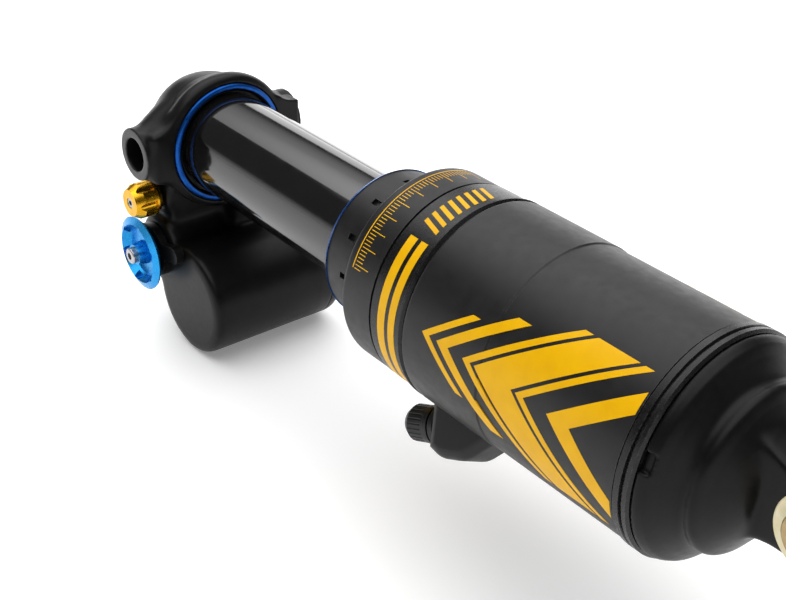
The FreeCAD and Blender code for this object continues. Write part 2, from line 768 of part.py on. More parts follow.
def valve_boss():
    """Hull-shaped boss on the can's underside: flat cheeks, a rounded keel, a mouth that
    faces the valve cap."""
    mouth = dim.valve_at
    keel = dim.valve_offset
    outline = [
        (along(mouth - 3.4), keel - 8.4), (along(mouth - 2.0), keel - 5.0),
        (along(mouth + 2.1), keel + 5.0), (along(mouth + 6.5), keel + 5.6),
        (along(mouth + 13.5), keel + 2.6), (along(mouth + 18.6), keel - 4.6),
        (along(mouth + 19.2), keel - 8.4),
    ]
    half_width = 6.2
    turn = Rotation(Vector(1, 0, 0), dim.valve_angle.number)
    upright = turn.inverted()
    hull = plate("valve_hull", outline, half_width, (0, 0, 0), turn)
    keel_line = (dim.valve_offset - 6.0).number
    bend_from = along(mouth + 4.0).number

    def at_bend(edge_middle):
        spot = upright.multVec(edge_middle)
        return abs(spot.z) < 0.1 and spot.y > keel.number and spot.x > bend_from

    def on_rim(edge_middle):
        spot = upright.multVec(edge_middle)
        return abs(spot.z) > half_width - 0.1 and spot.y > keel_line

    bent = softened("valve_hull_bent", hull, 7.0, at_bend)
    return softened("valve_hull_soft", bent, 2.6, on_rim)


def valve_pieces():
    """Brass stem with its core and pin, and the ribbed plastic cap."""
    mouth, outward = valve_frame()
    turn = Rotation(Vector(1, 0, 0), outward)
    stem_radius = dim.valve_stem_radius
    stem = turned("valve_stem", [
        (-8.0, 1.3), (-8.0, 3.2), (0.0, 3.2), (0.0, 4.9), (1.4, 4.9), (1.4, stem_radius),
        (7.6, stem_radius), (7.6, 2.4), (-2.0, 2.4), (-2.0, 1.3),
    ])
    core = turned("valve_core", [
        (-1.9, 0.8), (-1.9, 2.4), (6.6, 2.4), (6.6, 0.8),
    ])
    pin = turned("valve_pin", [(-5.0, 0), (-5.0, 0.7), (7.2, 0.7), (7.2, 0)])
    cap_outer, cap_top = dim.valve_cap_radius, size_of(2.0) + dim.valve_cap_length
    bore = stem_radius + 0.1
    blank = turned("valve_cap_blank", [
        (2.0, bore), (2.0, cap_outer + 0.15), (3.3, cap_outer + 0.15), (3.5, cap_outer),
        (cap_top - 2.6, cap_outer), (cap_top - 0.9, cap_outer - 1.2),
        (cap_top, cap_outer - 2.9), (cap_top, 0), (cap_top - 1.4, 0), (cap_top - 1.4, bore),
    ])
    ribs = []
    for index in range(24):
        angle = math.radians(15 * index)
        reach = cap_outer + 0.12
        ribs.append(rod_x(f"cap_flute_{index}", 0.32, 4.1, cap_top - 2.0,
                          reach * math.cos(angle), reach * math.sin(angle)))
    cap = cut("valve_cap_cut", blank, ribs)
    for item, label in ((stem, "valve_stem"), (core, "valve_core"), (pin, "valve_pin"),
                        (cap, "valve_cap")):
        keep(place(item, mouth, turn), label)


def lock_ring():
    """Ring with two raised ridges that locks the can to the end cap."""
    front, back = along(dim.can_back_at), along(dim.lock_ring_back_at)
    inner, outer = dim.can_bore + 1.0, dim.lock_ring_radius
    turned_piece("can_lock_ring", [
        (front, inner), (front, outer - 0.6), (front + 0.5, outer), (front + 2.0, outer),
        (front + 2.3, outer - 0.7), (front + 2.7, outer - 0.7), (front + 3.0, outer),
        (back - 0.5, outer), (back, outer - 0.7), (back, inner),
    ])


def end_cap():
    """Domed end cap with spanner slots and the flat-sided eyelet lug in one forging."""
    front, inside = along(dim.cap_front_at), along(dim.cap_bore_end_at)
    spigot, spigot_radius = along(dim.spigot_front_at), dim.can_bore - dim.running_gap
    outer, bore = dim.cap_radius, dim.can_bore - 3.0
    valley, waist = along(dim.cap_valley_at), dim.cap_valley_radius
    boss = dim.cap_boss_radius
    cap = turned("end_cap_dome", [
        (spigot, bore), (spigot, spigot_radius), (spigot + 1.0, spigot_radius),
        (spigot + 1.0, spigot_radius - 1.2), (spigot + 2.6, spigot_radius - 1.2),
        (spigot + 2.6, spigot_radius), (front - 0.3, spigot_radius),
        (front - 0.3, outer - 0.6), (front, outer - 0.6),
        (front, outer), (front + 1.0, outer - 0.2), (front + 2.6, outer - 1.1),
        (front + 4.8, outer - 2.8), (valley, waist), (valley + 1.4, boss),
        (valley + 8.0, 10.5), (valley + 8.0, 0), (inside, 0), (inside, bore),
    ], [(valley + 1.4, boss, 1.6)])
    tools = [
        rod_x("end_cap_rod_hole", dim.rod_radius, inside - 1, inside + 8.6),
        rod_y("lug_bore", dim.eyelet_bore, -10, 10, 0, 0),
    ]
    tools += slots("cap_notch", front - 1, size_of(4.6), size_of(3.4), outer - 1.6,
                   outer + 1, 3, 71.7)
    keep(cut("end_cap_cut", fused("end_cap_solid", [cap, end_cap_lug()]), tools), "end_cap")


def end_cap_lug():
    """The flat lug: a waisted shank that runs into the round eye."""
    eye, waist = dim.lug_radius.number, dim.lug_waist
    half_turn = 8
    corners = []
    start = math.asin(waist.number / eye)
    for index in range(half_turn + 1):
        angle = math.pi - start - (2 * math.pi - 2 * start) * index / half_turn
        corners.append((eye * math.cos(angle), eye * math.sin(angle)))
    valley = along(dim.cap_valley_at)
    shank = [(valley + 12.0, -waist - 0.1), (valley + 8.0, -waist - 1.0),
             (valley + 2.0, -waist - 3.5), (valley + 2.0, waist + 8.0),
             (valley + 5.0, waist + 5.5), (valley + 8.0, waist + 3.4)]
    turn = Rotation(Vector(1, 0, 0), 90)
    return plate("end_cap_lug", corners + shank, dim.lug_half_width, (0, 0, 0), turn)


def end_cap_pieces():
    """Seal of the end cap and the rubber bumper that ends the stroke."""
    inside, spigot = along(dim.cap_bore_end_at), along(dim.spigot_front_at)
    land = dim.can_bore - dim.running_gap
    turned_piece("end_cap_seal", ring_outline(spigot + 1.0, spigot + 2.6, land - 1.2, land))
    front = inside - 4.6
    turned_piece("bottom_out_bumper",
                 ring_outline(front, inside, dim.rod_radius + 1.0, 13.0),
                 [(front, 13.0, 2.0)])


def eyelet_pieces():
    """Two flanged plastic bushes and the sleeve that the mounting bolt clamps."""
    half, flange = dim.lug_half_width, dim.bush_flange
    bore, pin = dim.eyelet_bore, dim.pin_radius
    turn_in = Rotation(Vector(0, 0, 1), 90)
    turn_out = Rotation(Vector(0, 0, 1), -90)
    for label, turn in (("eyelet_bush_left", turn_out), ("eyelet_bush_right", turn_in)):
        turned_piece(label, [
            (0.2, pin + dim.running_gap), (0.2, bore), (half, bore),
            (half, dim.bush_flange_radius), (half + flange, dim.bush_flange_radius),
            (half + flange, pin + dim.running_gap),
        ], [(half + flange, dim.bush_flange_radius, 0.5)], (0, 0, 0), turn)
    turned_piece("eyelet_sleeve", ring_outline(-half - flange - 1.6, half + flange + 1.6,
                                               dim.pin_bore, pin),
                 [(-half - flange - 1.6, pin, 0.4), (half + flange + 1.6, pin, 0.4)],
                 (0, 0, 0), ALONG_Y)


def rod_pieces():
    """Piston rod with its main piston, shims and nut."""
    front = along(dim.piston_front_at)
    back = front + dim.piston_length
    stud = dim.rod_radius - 1.5
    nut = front - 5.6
    rod_end = along(dim.cap_bore_end_at) + 8.6
    turned_piece("piston_rod", [
        (nut, dim.rod_bore), (nut, stud), (back + 1.2, stud), (back + 1.2, dim.rod_radius),
        (rod_end, dim.rod_radius), (rod_end, 0), (rod_end - 6.0, 0),
        (rod_end - 6.0, dim.rod_bore),
    ])
    fit = dim.tube_bore - dim.running_gap
    blank = turned("main_piston_blank", [
        (front, stud), (back, stud), (back, fit - 0.6), (back - 0.6, fit),
        (back - 2.0, fit), (back - 2.0, fit - 1.0), (front + 2.0, fit - 1.0),
        (front + 2.0, fit), (front + 0.6, fit), (front, fit - 0.6),
    ])
    ports = []
    for index in range(6):
        angle = math.radians(60 * index)
        ports.append(rod_x(f"piston_port_{index}", 1.3, front - 1, back + 1,
                           8.4 * math.cos(angle), 8.4 * math.sin(angle)))
    keep(cut("main_piston_cut", blank, ports), "main_piston")
    turned_piece("piston_band", ring_outline(front + 2.0, back - 2.0, fit - 1.0, fit))
    turned_piece("compression_shims", [
        (back, stud), (back, 10.4), (back + 0.6, 10.4), (back + 0.6, 8.0),
        (back + 1.2, 8.0), (back + 1.2, stud),
    ])
    turned_piece("rebound_shims", [
        (front - 1.2, stud), (front - 1.2, 7.0), (front - 0.6, 7.0), (front - 0.6, 9.8),
        (front, 9.8), (front, stud),
    ])
    turned_piece("piston_nut", ring_outline(nut, front - 1.2, stud, 5.5))


def write_pieces():
    """Check every object, then write one STEP file per sub-part."""
    doc.recompute()
    for item in doc.Objects:
        if "Invalid" in item.State or "Error" in item.State:
            raise RuntimeError(f"{item.Label} did not recompute: {item.State}")
    os.makedirs("parts", exist_ok=True)
    for item in pieces:
        shape = item.Shape
        if shape.isNull() or not shape.isValid():
            raise RuntimeError(f"{item.Label} has no valid shape")
        shape.exportStep(f"parts/{item.Label}.step")
        print(f"{item.Label}: {len(shape.Solids)} solid, {shape.Volume:.0f} mm3")


head_casting()
damper_tube()
head_ring()
head_tube_seal()
seal_head()
seal_head_pieces()
reservoir_pieces()
compression_knob()
adjuster_pieces()
can_collar()
collar_pieces()
can_nose()
can_sleeve()
can_seals()
air_can()
valve_pieces()
lock_ring()
end_cap()
end_cap_pieces()
eyelet_pieces()
rod_pieces()
write_pieces()
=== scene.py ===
import math

import bmesh
import bpy
import numpy as np
from mathutils import Matrix, Vector


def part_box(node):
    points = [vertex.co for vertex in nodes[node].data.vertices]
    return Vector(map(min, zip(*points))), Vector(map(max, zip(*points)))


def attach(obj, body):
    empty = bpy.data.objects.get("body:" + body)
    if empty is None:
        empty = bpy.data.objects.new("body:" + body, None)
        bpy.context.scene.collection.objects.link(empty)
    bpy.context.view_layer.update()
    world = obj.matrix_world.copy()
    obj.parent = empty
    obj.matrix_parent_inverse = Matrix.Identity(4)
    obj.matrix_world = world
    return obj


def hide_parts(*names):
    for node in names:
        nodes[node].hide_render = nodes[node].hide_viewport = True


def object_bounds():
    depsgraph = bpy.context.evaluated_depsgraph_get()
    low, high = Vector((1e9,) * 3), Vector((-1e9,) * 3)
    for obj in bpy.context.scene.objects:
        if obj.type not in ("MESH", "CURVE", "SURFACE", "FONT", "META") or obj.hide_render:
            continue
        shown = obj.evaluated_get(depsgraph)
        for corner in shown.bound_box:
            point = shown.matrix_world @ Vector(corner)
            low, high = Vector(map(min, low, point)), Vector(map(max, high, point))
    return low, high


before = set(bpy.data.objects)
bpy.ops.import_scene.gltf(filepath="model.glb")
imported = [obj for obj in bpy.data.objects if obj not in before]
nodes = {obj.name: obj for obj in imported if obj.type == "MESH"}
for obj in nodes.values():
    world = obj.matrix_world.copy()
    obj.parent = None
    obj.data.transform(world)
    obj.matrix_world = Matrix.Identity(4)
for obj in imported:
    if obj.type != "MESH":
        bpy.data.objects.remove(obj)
cad_low, cad_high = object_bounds()

MM = 0.001
EYE_TO_TRUNNION = 225.0
SLEEVE_LIP = 0.5


def world_point(x, y, z):
    """A point given in millimetres, in metres."""
    return Vector((x, y, z)) * MM


def shown(name, data):
    """An object of the scene made from its mesh, light or camera data."""
    item = bpy.data.objects.new(name, data)
    bpy.context.scene.collection.objects.link(item)
    return item


def node_radius(name):
    """Largest radius about the shock's axis of a round node, in millimetres."""
    low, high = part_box(name)
    return (high.y - low.y) / 2 / MM


# ---------------------------------------------------------------- camera and studio

def make_camera():
    """A 62 mm lens near the eyelet end, above the knob side, looking back along the shock."""
    azimuth, elevation, roll = math.radians(50.345), math.radians(30.911), math.radians(1.904)
    forward = Vector((
        -math.sin(azimuth) * math.cos(elevation),
        math.cos(azimuth) * math.cos(elevation),
        -math.sin(elevation),
    ))
    data = bpy.data.cameras.new("camera")
    data.lens = 62.14
    data.sensor_width = 36.0
    data.clip_start = 0.01
    data.clip_end = 20.0
    camera = shown("camera", data)
    camera.location = world_point(-113.93, -19.21, 1.75) - forward * 326.2 * MM
    camera.rotation_mode = "QUATERNION"
    turn = Matrix.Rotation(roll, 3, "Z").to_quaternion()
    camera.rotation_quaternion = forward.to_track_quat("-Z", "Y") @ turn
    bpy.context.scene.camera = camera


def softbox(name, position, target, size, power):
    """A rectangular studio light aimed at a point, in millimetres and watts."""
    data = bpy.data.lights.new(name, "AREA")
    data.shape = "RECTANGLE"
    data.size, data.size_y = size[0] * MM, size[1] * MM
    data.energy = power
    light = shown(name, data)
    light.location = world_point(*position)
    aim = world_point(*target) - light.location
    light.rotation_mode = "QUATERNION"
    light.rotation_quaternion = aim.to_track_quat("-Z", "Y")
    return data


def faded(light, start, end):
    """Makes a softbox brighter at one long edge than at the other."""
    light.use_nodes = True
    tree = light.node_tree
    surface = tree.nodes.new("ShaderNodeNewGeometry")
    parts = tree.nodes.new("ShaderNodeSeparateXYZ")
    fall = tree.nodes.new("ShaderNodeMapRange")
    fall.inputs["To Min"].default_value = start
    fall.inputs["To Max"].default_value = end
    tree.links.new(surface.outputs["Parametric"], parts.inputs["Vector"])
    tree.links.new(parts.outputs["Y"], fall.inputs["Value"])
    tree.links.new(fall.outputs["Result"], tree.nodes["Emission"].inputs["Strength"])


def make_room():
    """The light round the scene: pale at the horizon, dim walls and a bright ceiling."""
    ceiling = (0.62, 0.88, 0.10, 2.6)
    horizon = (0.02, 0.14, 1.0, 0.0)
    world = bpy.data.worlds.new("studio")
    bpy.context.scene.world = world
    world.use_nodes = True
    tree = world.node_tree
    direction = tree.nodes.new("ShaderNodeTexCoord")
    parts = tree.nodes.new("ShaderNodeSeparateXYZ")
    both = tree.nodes.new("ShaderNodeMath")
    tree.links.new(direction.outputs["Generated"], parts.inputs["Vector"])
    for place, numbers in enumerate((ceiling, horizon)):
        rise = tree.nodes.new("ShaderNodeMapRange")
        for socket, number in zip(("From Min", "From Max", "To Min", "To Max"), numbers):
            rise.inputs[socket].default_value = number
        tree.links.new(parts.outputs["Z"], rise.inputs["Value"])
        tree.links.new(rise.outputs["Result"], both.inputs[place])
    tree.links.new(both.outputs["Value"], tree.nodes["Background"].inputs["Strength"])
    tree.nodes["Background"].inputs["Color"].default_value = (1, 1, 1, 1)


def make_studio():
    """A dim room with a bright ceiling, a white floor, and two soft lights at the back."""
    bpy.context.scene.view_settings.view_transform = "Standard"
    make_room()
    middle = (-110, 0, 0)
    faded(softbox("key", (-800, 350, 640), middle, (1300, 560), 3.0), 0.0, 2.0)
    softbox("backdrop", (-700, 760, 210), middle, (1500, 300), 2.5)
    reach, gap = 3000, 0.5
    floor_z = cad_low.z / MM - gap
    data = bpy.data.meshes.new("floor")
    corners = ((-reach, -reach), (reach, -reach), (reach, reach), (-reach, reach))
    data.from_pydata([world_point(x, y, floor_z) for x, y in corners], [], [(0, 1, 2, 3)])
    floor = shown("floor", data)
    paper = Look("floor_paper", (0.94, 0.94, 0.94), 0.9, Specular_IOR_Level=0.1,
                 Emission_Color=(1, 1, 1, 1), Emission_Strength=0.20)
    data.materials.append(paper.material)


# ---------------------------------------------------------------- materials

class Look:
    """One procedural material, built node by node round its Principled shader."""

    def __init__(self, name, colour, roughness, metallic=0.0, **sockets):
        self.material = bpy.data.materials.new(name)
        self.material.use_nodes = True
        self.tree = self.material.node_tree
        self.shader = self.tree.nodes["Principled BSDF"]
        self.shader.inputs["Base Color"].default_value = (*colour, 1)
        self.shader.inputs["Roughness"].default_value = roughness
        self.shader.inputs["Metallic"].default_value = metallic
        for socket, value in sockets.items():
            self.shader.inputs[socket.replace("_", " ")].default_value = value
        self.base = colour
        self.place = self.add("ShaderNodeTexCoord").outputs["Object"]

    def add(self, kind, **settings):
        """A new node with its settings."""
        node = self.tree.nodes.new(kind)
        for key, value in settings.items():
            setattr(node, key, value)
        return node

    def link(self, source, target):
        """Joins an output to an input."""
        self.tree.links.new(source, target)

    def noise(self, grain, detail=3.0, stretch=(1, 1, 1)):
        """Cloudy noise whose blots are about grain millimetres across."""
        mapping = self.add("ShaderNodeMapping")
        mapping.inputs["Scale"].default_value = [1 / (grain * MM * part) for part in stretch]
        self.link(self.place, mapping.inputs["Vector"])
        noise = self.add("ShaderNodeTexNoise")
        noise.inputs["Scale"].default_value = 1.0
        noise.inputs["Detail"].default_value = detail
        self.link(mapping.outputs["Vector"], noise.inputs["Vector"])
        return noise.outputs["Fac"]

    def span(self, value, low, high, start=0.3, end=0.7):
        """The value's range start to end mapped to low to high, and clamped."""
        ramp = self.add("ShaderNodeMapRange")
        for socket, number in (("From Min", start), ("From Max", end),
                               ("To Min", low), ("To Max", high)):
            ramp.inputs[socket].default_value = number
        self.link(value, ramp.inputs["Value"])
        return ramp.outputs["Result"]

    def paint(self, factor, other):
        """Blends the base colour towards another where the factor is high."""
        mix = self.add("ShaderNodeMix", data_type="RGBA")
        target = self.shader.inputs["Base Color"]
        colours = [socket for socket in mix.inputs if socket.type == "RGBA"]
        if target.is_linked:
            self.link(target.links[0].from_socket, colours[0])
        else:
            colours[0].default_value = (*self.base, 1)
        colours[1].default_value = (*other, 1)
        self.link(factor, mix.inputs["Factor"])
        result = next(socket for socket in mix.outputs if socket.type == "RGBA")
        self.link(result, target)

    def uneven(self, value, low, high):
        """Roughness that wanders between two values."""
        self.link(self.span(value, low, high), self.shader.inputs["Roughness"])

    def relief(self, height, depth):
        """Bump of the given depth in millimetres, on top of any earlier one."""
        bump = self.add("ShaderNodeBump")
        bump.inputs["Strength"].default_value = 1.0
        bump.inputs["Distance"].default_value = depth * MM
        self.link(height, bump.inputs["Height"])
        target = self.shader.inputs["Normal"]
        if target.is_linked:
            self.link(target.links[0].from_socket, bump.inputs["Normal"])
        self.link(bump.outputs["Normal"], target)

    def worn_edges(self, reach, colour, amount):
        """Edges rubbed lighter in patches, found by how a rounded corner would turn."""
        bevel = self.add("ShaderNodeBevel", samples=4)
        bevel.inputs["Radius"].default_value = reach * MM
        geometry = self.add("ShaderNodeNewGeometry")
        agree = self.add("ShaderNodeVectorMath", operation="DOT_PRODUCT")
        self.link(bevel.outputs["Normal"], agree.inputs[0])
        self.link(geometry.outputs["Normal"], agree.inputs[1])
        corner = self.span(agree.outputs["Value"], 1.0, 0.0, 0.86, 0.99)
        patchy = self.span(self.noise(1.2, 5.0), 0.0, amount, 0.42, 0.62)
        both = self.add("ShaderNodeMath", operation="MULTIPLY")
        self.link(corner, both.inputs[0])
        self.link(patchy, both.inputs[1])
        self.paint(both.outputs["Value"], colour)


def can_black():
    """Satin black anodised tube: faint turning lines, fine blasted grain, bright worn edges."""
    look = Look("can_black", (0.0066, 0.0064, 0.0066), 0.42, Specular_IOR_Level=0.31)
    look.paint(look.span(look.noise(9.0), 0.0, 1.0), (0.0105, 0.0098, 0.0096))
    look.worn_edges(0.25, (0.17, 0.165, 0.16), 0.5)
    look.uneven(look.noise(2.4, 4.0), 0.36, 0.46)
    look.relief(look.noise(0.16, 2.0), 0.006)
    look.relief(look.noise(1.0, 2.0, (0.12, 8, 8)), 0.004)
    return look


def head_black():
    """Cast and blasted black metal, darker and coarser in grain than the can."""
    look = Look("head_black", (0.0032, 0.0031, 0.0031), 0.34, Specular_IOR_Level=0.15)
    look.paint(look.span(look.noise(6.0), 0.0, 1.0), (0.0056, 0.0053, 0.0052))
    look.worn_edges(0.3, (0.15, 0.145, 0.14), 0.45)
    look.uneven(look.noise(1.6, 4.0), 0.31, 0.38)
    look.relief(look.noise(0.30, 3.0), 0.014)
    return look


def machined_black():
    """Anodised faces cut after casting: lighter, with fine rings left by the tool."""
    look = Look("machined_black", (0.006, 0.006, 0.0063), 0.33, metallic=0.3)
    look.paint(look.span(look.noise(1.5), 0.0, 1.0), (0.011, 0.011, 0.0115))
    look.uneven(look.noise(0.7, 3.0), 0.26, 0.38)
    look.relief(look.noise(0.22, 2.0, (3, 1, 3)), 0.004)
    return look


def ring_black():
    """Burnished black of the raised rings: shinier, with a coarse sparkle."""
    look = Look("ring_black", (0.005, 0.005, 0.005), 0.27, Specular_IOR_Level=0.30)
    look.paint(look.span(look.noise(3.0), 0.0, 1.0), (0.008, 0.008, 0.008))
    look.worn_edges(0.3, (0.16, 0.155, 0.15), 0.35)
    look.uneven(look.noise(0.5, 4.0), 0.20, 0.38)
    look.relief(look.noise(0.30, 3.0), 0.018)
    return look


def tube_black():
    """Polished black hard coat of the sliding tube, almost a mirror."""
    look = Look("tube_black", (0.004, 0.004, 0.0043), 0.10, Coat_Weight=0.4,
                Coat_Roughness=0.04, Specular_IOR_Level=0.5)
    look.paint(look.span(look.noise(14.0), 0.0, 1.0), (0.006, 0.006, 0.0065))
    look.uneven(look.noise(5.0, 4.0), 0.07, 0.13)
    look.relief(look.noise(0.5, 2.0, (0.3, 6, 6)), 0.0006)
    return look


def anodised(name, colour, deep, roughness, metallic=0.85, wear=0.5):
    """Dyed anodised aluminium with turning lines and worn, paler edges."""
    look = Look(name, colour, roughness, metallic=metallic)
    look.paint(look.span(look.noise(2.5), 0.0, 1.0), deep)
    look.worn_edges(0.2, tuple(min(1.0, part * 1.6 + 0.12) for part in colour), wear)
    look.uneven(look.noise(0.9, 3.0), roughness - 0.05, roughness + 0.07)
    look.relief(look.noise(0.25, 2.0, (4, 1, 4)), 0.004)
    return look


def bare_metal(name, colour, roughness):
    """Machined metal with fine lines and slight tarnish."""
    look = Look(name, colour, roughness, metallic=1.0)
    look.paint(look.span(look.noise(1.8, 4.0), 0.0, 1.0),
               tuple(part * 0.78 for part in colour))
    look.uneven(look.noise(0.7, 3.0), roughness - 0.06, roughness + 0.1)
    look.relief(look.noise(0.2, 2.0, (1, 4, 4)), 0.004)
    return look


def soft_black(name, level, roughness, grain, depth):
    """Moulded rubber or plastic with a fine uneven skin."""
    look = Look(name, (level, level, level), roughness, Specular_IOR_Level=0.35)
    look.paint(look.span(look.noise(2.0, 4.0), 0.0, 1.0), (level * 1.6,) * 3)
    look.uneven(look.noise(grain * 5, 3.0), roughness - 0.07, roughness + 0.07)
    look.relief(look.noise(grain, 3.0), depth)
    return look


def bush_cream():
    """Cream bearing plastic, a little yellower in patches."""
    look = Look("bush_plastic", (0.86, 0.79, 0.55), 0.42, Subsurface_Weight=0.15,
                Subsurface_Scale=0.001)
    look.paint(look.span(look.noise(2.2), 0.0, 1.0), (0.80, 0.70, 0.42))
    look.uneven(look.noise(0.8, 3.0), 0.36, 0.50)
    look.relief(look.noise(0.15, 2.0), 0.004)
    return look


def gold_print():
    """Golden yellow ink: smooth and slightly mottled."""
    look = Look("gold_print", (0.82, 0.45, 0.001), 0.42, Specular_IOR_Level=0.16)
    look.paint(look.span(look.noise(5.0, 4.0), 0.0, 1.0), (0.76, 0.40, 0.001))
    look.uneven(look.noise(1.2, 4.0), 0.30, 0.44)
    look.relief(look.noise(0.20, 2.0), 0.004)
    return look


def blue_lip_with_painted_shade(name, inner_radius, colour, deep):
    """A blue lip on a ring on the shock's axis, with painted shade: inside inner_radius the face
    is painted near black for the shadow in the gap round the tube.
    """
    edge = 0.1
    look = anodised(name, colour, deep, 0.30)
    across = look.add("ShaderNodeVectorMath", operation="MULTIPLY")
    across.inputs[1].default_value = (0, 1 / MM, 1 / MM)
    look.link(look.place, across.inputs[0])
    from_axis = look.add("ShaderNodeVectorMath", operation="LENGTH")
    look.link(across.outputs["Vector"], from_axis.inputs[0])
    # painted shade: near black inside inner_radius, standing for the shadow in the gap between
    # the ring and the tube
    painted_shade_inside = look.span(from_axis.outputs["Value"], 1.0, 0.0,
                       inner_radius - edge, inner_radius + edge)
    look.paint(painted_shade_inside, (0.004, 0.004, 0.006))
    return look


FINISHES = {
    "can_black": can_black(),
    "head_black": head_black(),
    "tube_black": tube_black(),
    "anodised_blue": anodised("anodised_blue", (0.005, 0.080, 0.36), (0.003, 0.055, 0.27), 0.30),
    "knob_blue": anodised("knob_blue", (0.018, 0.29, 0.66), (0.014, 0.25, 0.60), 0.25, wear=0.2),
    "knob_gold": anodised("knob_gold", (0.74, 0.41, 0.02), (0.62, 0.31, 0.01), 0.22, 0.95),
    "alloy": bare_metal("alloy", (0.62, 0.63, 0.65), 0.32),
    "steel": bare_metal("steel", (0.46, 0.46, 0.47), 0.28),
    "chrome": bare_metal("chrome", (0.72, 0.72, 0.73), 0.12),
    "brass": bare_metal("brass", (0.68, 0.47, 0.19), 0.30),
    "rubber": soft_black("rubber", 0.014, 0.62, 0.25, 0.012),
    "guide_plastic": soft_black("guide_plastic", 0.05, 0.50, 0.2, 0.006),
    "cap_plastic": soft_black("cap_plastic", 0.007, 0.40, 0.22, 0.012),
    "bush_plastic": bush_cream(),
    "sleeve_alloy": anodised("sleeve_alloy", (0.42, 0.31, 0.17), (0.34, 0.24, 0.12), 0.34),
    "foam": soft_black("foam", 0.22, 0.85, 0.5, 0.06),
}
GOLD = gold_print()
MACHINED = machined_black()
RINGS = ring_black()
# the head and wiper rings: blue lips with painted shade on their inner faces
HEAD_RING_PAINTED_SHADE = blue_lip_with_painted_shade("head_ring_blue_painted_shade", 17.05, (0.005, 0.080, 0.36), (0.003, 0.055, 0.27))
WIPER_RING_PAINTED_SHADE = blue_lip_with_painted_shade("wiper_ring_blue_painted_shade", node_radius("wiper_ring") - 1.0,
                      (0.014, 0.15, 0.58), (0.010, 0.11, 0.46))


def finish_nodes():
    """Gives every CAD node the finish that its record slot names."""
    for item in nodes.values():
        for place in item.material_slots:
            place.material = FINISHES[place.material.name.split(".")[0]].material
    for name in ("can_lock_ring", "can_sleeve"):
        nodes[name].material_slots[0].material = RINGS.material
    nodes["head_ring"].material_slots[0].material = HEAD_RING_PAINTED_SHADE.material
    nodes["wiper_ring"].material_slots[0].material = WIPER_RING_PAINTED_SHADE.material


# ---------------------------------------------------------------- castings

def station(at):
    """Row-frame X in millimetres of a station measured from the trunnion axis."""
    return at - EYE_TO_TRUNNION


def dress(piece, body, look):
    """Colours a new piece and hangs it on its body."""
    piece.data.materials.append(look.material)
    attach(piece, body)


def welded_copy(node):
    """A CAD node's mesh as one closed skin."""
    shape = bmesh.new()
    shape.from_mesh(nodes[node].data)
    bmesh.ops.remove_doubles(shape, verts=shape.verts[:], dist=0.001 * MM)
    data = bpy.data.meshes.new(node)
    shape.to_mesh(data)
    shape.free()
    return data


def melted(name, node, voxel, passes, freedom):
    """A copy of a CAD node whose joins flow into each other, as on a casting or a forging.

    freedom takes an array of points (station, y, z) in millimetres and says, from 0 to 1,
    how far each may move; bores, seats and machined faces stay where they are."""
    piece = shown(name, welded_copy(node))
    remesh = piece.modifiers.new("skin", "REMESH")
    remesh.mode = "VOXEL"
    remesh.voxel_size = voxel * MM
    solid = piece.evaluated_get(bpy.context.evaluated_depsgraph_get())
    data = bpy.data.meshes.new_from_object(solid)
    piece.modifiers.clear()
    piece.data = data
    count = len(data.vertices)
    points = np.empty(count * 3)
    data.vertices.foreach_get("co", points)
    points = points.reshape(-1, 3)
    ends = np.empty(len(data.edges) * 2, dtype=int)
    data.edges.foreach_get("vertices", ends)
    tails, heads = ends.reshape(-1, 2).T
    neighbours = np.bincount(ends, minlength=count)
    shift = np.array((EYE_TO_TRUNNION, 0, 0))
    pace = 0.6
    share = pace * freedom(points / MM + shift)[:, None]
    for _ in range(passes):
        total = np.empty_like(points)
        for axis in range(3):
            column = points[:, axis]
            total[:, axis] = (np.bincount(tails, column[heads], count)
                              + np.bincount(heads, column[tails], count))
        points += share * (total / neighbours[:, None] - points)
    data.vertices.foreach_set("co", points.ravel())
    data.polygons.foreach_set("use_smooth", np.ones(len(data.polygons), dtype=bool))
    data.update()
    return piece


def ramp(value, start, end):
    """0 before start, 1 after end, and a straight rise between them."""
    return np.clip((value - start) / (end - start), 0, 1)


def from_middle(box, points):
    """Distance in millimetres from a round node's middle line, which runs along Y."""
    middle = (box[0] + box[1]) / 2 / MM
    return np.hypot(points[:, 0] - EYE_TO_TRUNNION - middle.x, points[:, 2] - middle.z)


def head_freedom(points):
    """The head's cast skin moves; its bores, seats and boss ends don't."""
    at, across, up = points.T
    boss_face, arm_start, seat_start = 26.4, 15, -2
    free = ramp(boss_face - abs(across), 0, 1.2)
    free *= np.where(abs(across) > arm_start, ramp(np.hypot(at, up), 5.4, 6.0), 1)
    free *= np.where(at > seat_start, ramp(np.hypot(across, up), 19.0, 19.8), 1)
    free *= ramp(from_middle(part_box("compression_needle"), points), 6.0, 6.6)
    free *= ramp(from_middle(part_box("rebound_needle"), points), 3.0, 3.6)
    low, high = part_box("reservoir_cap")
    radius = (high.z - low.z) / 2 / MM
    free *= ramp(from_middle((low, high), points), radius - 3.2, radius - 2.6)
    return free * ramp(low.y / MM - across, 0.2, 1.2)


def head_skin():
    """The trunnion head as a blasted casting with machined boss ends."""
    head = melted("head_skin", "head_casting", 0.4, 70, head_freedom)
    dress(head, "damper", FINISHES["head_black"])
    head.data.materials.append(MACHINED.material)
    low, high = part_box("head_casting")
    flat_depth = 0.15 * MM
    for face in head.data.polygons:
        if min(face.center.y - low.y, high.y - face.center.y) < flat_depth:
            face.material_index = 1
    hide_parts("head_casting")


def cap_freedom(points):
    """The end cap's dome and lug flow together; its spigot, slots and bores don't move."""
    at, across, up = points.T
    rod_bore_end = 208
    free = ramp(at, 198.2, 199.8)
    free *= ramp(np.hypot(at - EYE_TO_TRUNNION, up), 7.9, 8.5)
    return free * np.where(at < rod_bore_end, ramp(np.hypot(across, up), 5.2, 6.0), 1)


